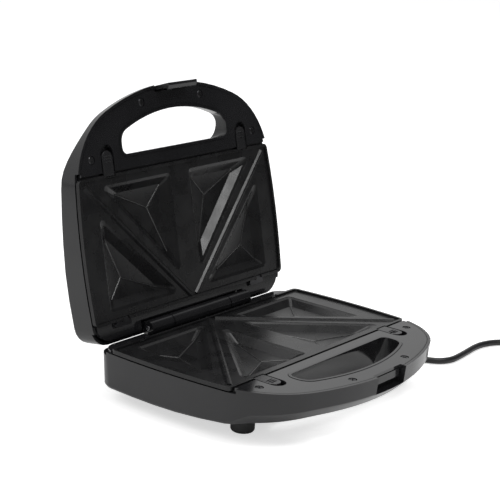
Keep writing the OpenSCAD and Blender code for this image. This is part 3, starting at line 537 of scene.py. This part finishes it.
def pocket_lines(side):
    """Three straight lines over each pocket, from its point to near its corners, off the plate."""
    points, edges = [], []
    for mirror in (-1, 1):
        for corner, tips in ((BACK_CORNER, BACK_TIPS), (FRONT_CORNER, FRONT_TIPS)):
            leg = tips - corner
            inner = (abs(leg.x) + abs(leg.y) - leg.length) / 2
            middle = corner + Vector((math.copysign(inner, leg.x), math.copysign(inner, leg.y)))
            for end in (corner, Vector((tips.x, corner.y)), Vector((corner.x, tips.y))):
                for at in (middle, middle.lerp(end, LINE_REACH)):
                    along = Vector((mirror * at.x, 0, 0)) + FORWARD[side] * (HINGE.y - at.y)
                    points.append(HINGE + along + OUTWARD[side] * LINE_START)
                edges.append((len(points) - 2, len(points) - 1))
    made = bpy.data.meshes.new(side + "_pocket_lines")
    made.from_pydata(points, edges, [])
    return made


floor_lines = floor_line_tree()
for side in ("base", "lid"):
    plate = moulded(
        side + "_plate", side, nonstick, PLATE_ROUND, sharp_from=PLATE_SHARP_FROM, segments=3,
    )
    lines = grown(
        side + "_pocket_lines", pocket_lines(side), floor_lines,
        Plate=plate, Inward=-OUTWARD[side], Coat=rubbed_coat,
    )
    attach(lines, side)


# ---- Plate clips ----
# Two spring-steel clips in each half hold the back edge of a plate. They are punched, bent
# and blackened, and each has a stud that plugs into the inner moulding.
CLIP_ROUND = 0.00015

# Fine streaks along x, for what is drawn or rolled
drawn_metal, given, place, results = surface_group("drawn_metal", Lines=2600.0, Stretch=0.04)
along = node(drawn_metal, "ShaderNodeCombineXYZ", in_1=1.0, in_2=1.0)
pulled = node(drawn_metal, "ShaderNodeVectorMath", operation="MULTIPLY")
streaks = node(drawn_metal, "ShaderNodeTexNoise", in_3=2.0, in_4=0.6)
smear = node(drawn_metal, "ShaderNodeMapRange", in_1=0.3, in_2=0.7)
wire(
    drawn_metal,
    (given["Stretch"], along.inputs[0]),
    (place, pulled.inputs[0]),
    (along.outputs[0], pulled.inputs[1]),
    (pulled.outputs[0], streaks.inputs["Vector"]),
    (given["Lines"], streaks.inputs["Scale"]),
    (streaks.outputs[0], smear.inputs[0]),
    (streaks.outputs[0], results["Height"]),
    (smear.outputs[0], results["Mask"]),
)


def metal(name, colour, rough, lines=2600):
    """Bare drawn or rolled metal, with fine streaks in its colour, gloss and relief."""
    darker = [c * 0.85 for c in colour]
    made, shader = skinned(
        name, drawn_metal, {"Lines": lines}, (darker, colour), rough,
        spread=0.12, strength=0.5, depth=0.000006,
    )
    shader.inputs["Metallic"].default_value = 1.0
    return made


black_steel = metal("blackened_steel", (0.11, 0.11, 0.115), 0.3)
bright_steel = metal("bright_steel", (0.58, 0.58, 0.60), 0.2)
for side in ("base", "lid"):
    moulded(side + "_plate_clips", side, black_steel, CLIP_ROUND)


# ---- Release buttons ----
# Four sliding tongues in satin black ABS with a ribbed thumb grip. Pushed towards the
# handle, each lets go of the plate's front rim.
BUTTON_ROUND = 0.0003
button_satin = finish(
    "button_satin", (0.013, 0.013, 0.014), 0.22, grain=1800, wave=50, depth=0.000008,
)
for name in ("base_button_left", "base_button_right", "lid_button_left", "lid_button_right"):
    moulded(name, name, button_satin, BUTTON_ROUND)


# ---- Latch ----
# A snap hook in the same satin black ABS at the tip of the lid's handle. It turns on a steel
# pin, which has a small torsion spring wound round it.
LATCH_ROUND = 0.0004
moulded("latch", "latch", button_satin, LATCH_ROUND)
moulded("latch_pin", "lid", bright_steel)
moulded("latch_spring", "lid", bright_steel)


# ---- Deck screws ----
# Eight blackened self-tapping screws with low pan heads and a cross recess. They hold each
# inner moulding to its shell, with their heads sunk in the handle deck.
HEAD_R = 0.0029
HEAD_H = 0.001
HEAD_SIDES = 48
CHAMFER = 0.00035
CHAMFER_SLOPE = 1.6
CROSS_W = 0.0008
CROSS_SPAN = 0.0038
CROSS_DEPTH = 0.0006
SHANK_R = 0.0013
SHANK_LEN = 0.006
SHANK_SIDES = 24
SHANK_DROP = -0.48
SCREW_SHARP_FROM = math.radians(25)


def screw_tree():
    """A screw on each point, which is under its head, along an axis, with its cross turned by chance."""
    tree, given = new_tree(
        "deck_screw", "Screws",
        **{
            "Seats": ("Geometry", None), "Head radius": ("Float", HEAD_R), "Head height": ("Float", HEAD_H),
            "Chamfer": ("Float", CHAMFER), "Cross width": ("Float", CROSS_W),
            "Cross span": ("Float", CROSS_SPAN), "Cross depth": ("Float", CROSS_DEPTH),
            "Shank radius": ("Float", SHANK_R), "Shank length": ("Float", SHANK_LEN),
            "Axis": ("Vector", None), "Seed": ("Int", None), "Metal": ("Material", None),
        },
    )

    def worked(operation, first, second):
        """The number that comes of two, each of them a socket or a plain number."""
        made = node(tree, "ShaderNodeMath", operation=operation)
        for socket, value in zip(made.inputs, (first, second)):
            if isinstance(value, (int, float)):
                socket.default_value = value
            else:
                tree.links.new(value, socket)
        return made.outputs[0]

    def lifted(shape, height):
        """A shape moved up its axis."""
        up_by = node(tree, "ShaderNodeCombineXYZ")
        move = node(tree, "GeometryNodeTransform")
        wire(
            tree,
            (height, up_by.inputs["Z"]),
            (shape, move.inputs["Geometry"]),
            (up_by.outputs[0], move.inputs["Translation"]),
        )
        return move.outputs[0]

    def bar(x, y):
        """One arm of the cross recess, half of it above the head."""
        size = node(tree, "ShaderNodeCombineXYZ")
        block = node(tree, "GeometryNodeMeshCube")
        wire(
            tree,
            (x, size.inputs["X"]),
            (y, size.inputs["Y"]),
            (worked("MULTIPLY", given["Cross depth"], 2), size.inputs["Z"]),
            (size.outputs[0], block.inputs["Size"]),
        )
        return lifted(block.outputs["Mesh"], given["Head height"])

    rim = node(tree, "GeometryNodeMeshCylinder", in_0=HEAD_SIDES)
    straight = worked("SUBTRACT", given["Head height"], given["Chamfer"])
    crown = node(tree, "GeometryNodeMeshCone", in_0=HEAD_SIDES)
    narrow = worked("SUBTRACT", given["Head radius"], worked("MULTIPLY", given["Chamfer"], CHAMFER_SLOPE))
    shank = node(tree, "GeometryNodeMeshCylinder", in_0=SHANK_SIDES)
    shank_at = worked("MULTIPLY", given["Shank length"], SHANK_DROP)
    head = node(tree, "GeometryNodeMeshBoolean", operation="UNION")
    cut = node(tree, "GeometryNodeMeshBoolean", operation="DIFFERENCE")
    wire(
        tree,
        (given["Head radius"], rim.inputs["Radius"]),
        (straight, rim.inputs["Depth"]),
        (narrow, crown.inputs["Radius Top"]),
        (given["Head radius"], crown.inputs["Radius Bottom"]),
        (given["Chamfer"], crown.inputs["Depth"]),
        (given["Shank radius"], shank.inputs["Radius"]),
        (given["Shank length"], shank.inputs["Depth"]),
        (lifted(rim.outputs["Mesh"], worked("MULTIPLY", straight, 0.5)), head.inputs["Mesh 2"]),
        (lifted(crown.outputs["Mesh"], straight), head.inputs["Mesh 2"]),
        (lifted(shank.outputs["Mesh"], shank_at), head.inputs["Mesh 2"]),
        (head.outputs["Mesh"], cut.inputs["Mesh 1"]),
        (bar(given["Cross span"], given["Cross width"]), cut.inputs["Mesh 2"]),
        (bar(given["Cross width"], given["Cross span"]), cut.inputs["Mesh 2"]),
    )
    stand = node(tree, "FunctionNodeAlignRotationToVector", axis="Z")
    chance = node(tree, "FunctionNodeRandomValue", data_type="FLOAT", in_3=math.tau)
    twist = node(tree, "ShaderNodeCombineXYZ")
    spin = node(tree, "FunctionNodeEulerToRotation")
    turned = node(tree, "FunctionNodeRotateRotation", rotation_space="LOCAL")
    placed = node(tree, "GeometryNodeInstanceOnPoints")
    wire(
        tree,
        (given["Axis"], stand.inputs["Vector"]),
        (given["Seed"], chance.inputs["Seed"]),
        (chance.outputs[1], twist.inputs["Z"]),
        (twist.outputs[0], spin.inputs[0]),
        (stand.outputs[0], turned.inputs[0]),
        (spin.outputs[0], turned.inputs[1]),
        (given["Seats"], placed.inputs["Points"]),
        (cut.outputs["Mesh"], placed.inputs["Instance"]),
        (turned.outputs[0], placed.inputs["Rotation"]),
    )
    close_tree(tree, placed.outputs[0], given["Metal"])
    return tree


def solids(name):
    """The points of each separate solid of a CAD node, from left to right and low to high."""
    work = merged(name)
    left, found = set(work.verts), []
    while left:
        to_visit, island = [left.pop()], []
        while to_visit:
            at = to_visit.pop()
            island.append(at.co.copy())
            near = {edge.other_vert(at) for edge in at.link_edges} & left
            left -= near
            to_visit.extend(near)
        found.append(island)
    work.free()

    def order(island):
        return round(sum(p.x for p in island), 6), round(sum(p.z for p in island), 6)

    return sorted(found, key=order)


deck_screw = screw_tree()
for seed, side in enumerate(("base", "lid")):
    normal = OUTWARD[side]
    seats = []
    for island in solids(side + "_screws"):
        top = max(p.dot(normal) for p in island)
        middle = sum(island, Vector()) / len(island)
        seats.append(middle + normal * (top - HEAD_H - middle.dot(normal)))
    points = bpy.data.meshes.new("screw_seats")
    points.from_pydata(seats, [], [])
    screws = grown(
        side + "_screws_driven", points, deck_screw, Axis=normal, Seed=seed, Metal=black_steel,
    )
    screws.data.set_sharp_from_angle(angle=SCREW_SHARP_FROM)
    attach(screws, side)
    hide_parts(side + "_screws")


# ---- Feet ----
# Four plugs of black rubber pushed up into the base. Rubber is dull, and picks up fine dust
# that makes it uneven.
FOOT_ROUND = 0.0004
rubber = finish(
    "foot_rubber", (0.018, 0.018, 0.018), 0.5, grain=1500, wave=80, depth=0.00004, spread=0.15,
)
for end in ("front", "rear"):
    for hand in ("left", "right"):
        moulded(f"foot_{end}_{hand}", "base", rubber, FOOT_ROUND)


# ---- Hinge pin ----
# One ground steel rod through all three knuckles, flush with their ends. It stays with the
# base, and the lid's knuckle turns on it.
PIN_ROUND = 0.0002
moulded("hinge_pin", "base", bright_steel, PIN_ROUND)


# ---- Heaters and reflectors ----
# Under each plate a steel-sheathed element, bent to a U, lies on a pressed tinplate dish, which
# throws its heat up. The sheath has turned straw and grey from its first firing.
def paint(name, material):
    """Gives a CAD solid that stays as it is its finish."""
    mesh = frame["nodes"][name].data
    mesh.materials.clear()
    mesh.materials.append(material)


heater_steel = metal("heater_sheath", (0.30, 0.27, 0.24), 0.34, lines=1800)
tinplate = metal("tinplate", (0.60, 0.60, 0.61), 0.26, lines=900)
for side in ("base", "lid"):
    paint(side + "_heater", heater_steel)
    paint(side + "_reflector", tinplate)


# ---- Thermostat, fuse and terminals ----
# A snap thermostat in a tin can and a ceramic-cased fuse sit against the underside of the
# base's dish. A ceramic terminal block stands on the floor behind them.
ceramic = finish("ceramic", (0.75, 0.73, 0.68), 0.45, grain=1200, wave=70, depth=0.00003)
paint("thermostat", tinplate)
paint("thermal_fuse", ceramic)
paint("terminal_block", ceramic)


# ---- Indicator lamps ----
# Two clear moulded lenses in the lid's outer face, red for power and green for ready. Each is
# a rod with a flange that carries the light of a lamp inside.
LENS_ROUND = 0.0003
for name, slot, colour in (
    ("lamp_power", "lens_red", (0.5, 0.015, 0.01)),
    ("lamp_ready", "lens_green", (0.02, 0.35, 0.04)),
):
    lens = finish(slot, colour, 0.06, grain=400, wave=40, depth=0.000004)
    moulded(name, "lid", lens, LENS_ROUND)


# ---- Cord relief and plug ----
# A tapered, ringed relief of soft black vinyl grips the lead where it leaves the base. The
# plug is moulded on in the same vinyl, with two plated pins.
PLUG_ROUND = 0.0004
PLUG_PIN_ROUND = 0.0002
relief = moulded("strain_relief", "base", cord_finish)
plug = moulded("mains_plug", "base", cord_finish, PLUG_ROUND)
pins = moulded("plug_pins", "base", bright_steel, PLUG_PIN_ROUND)
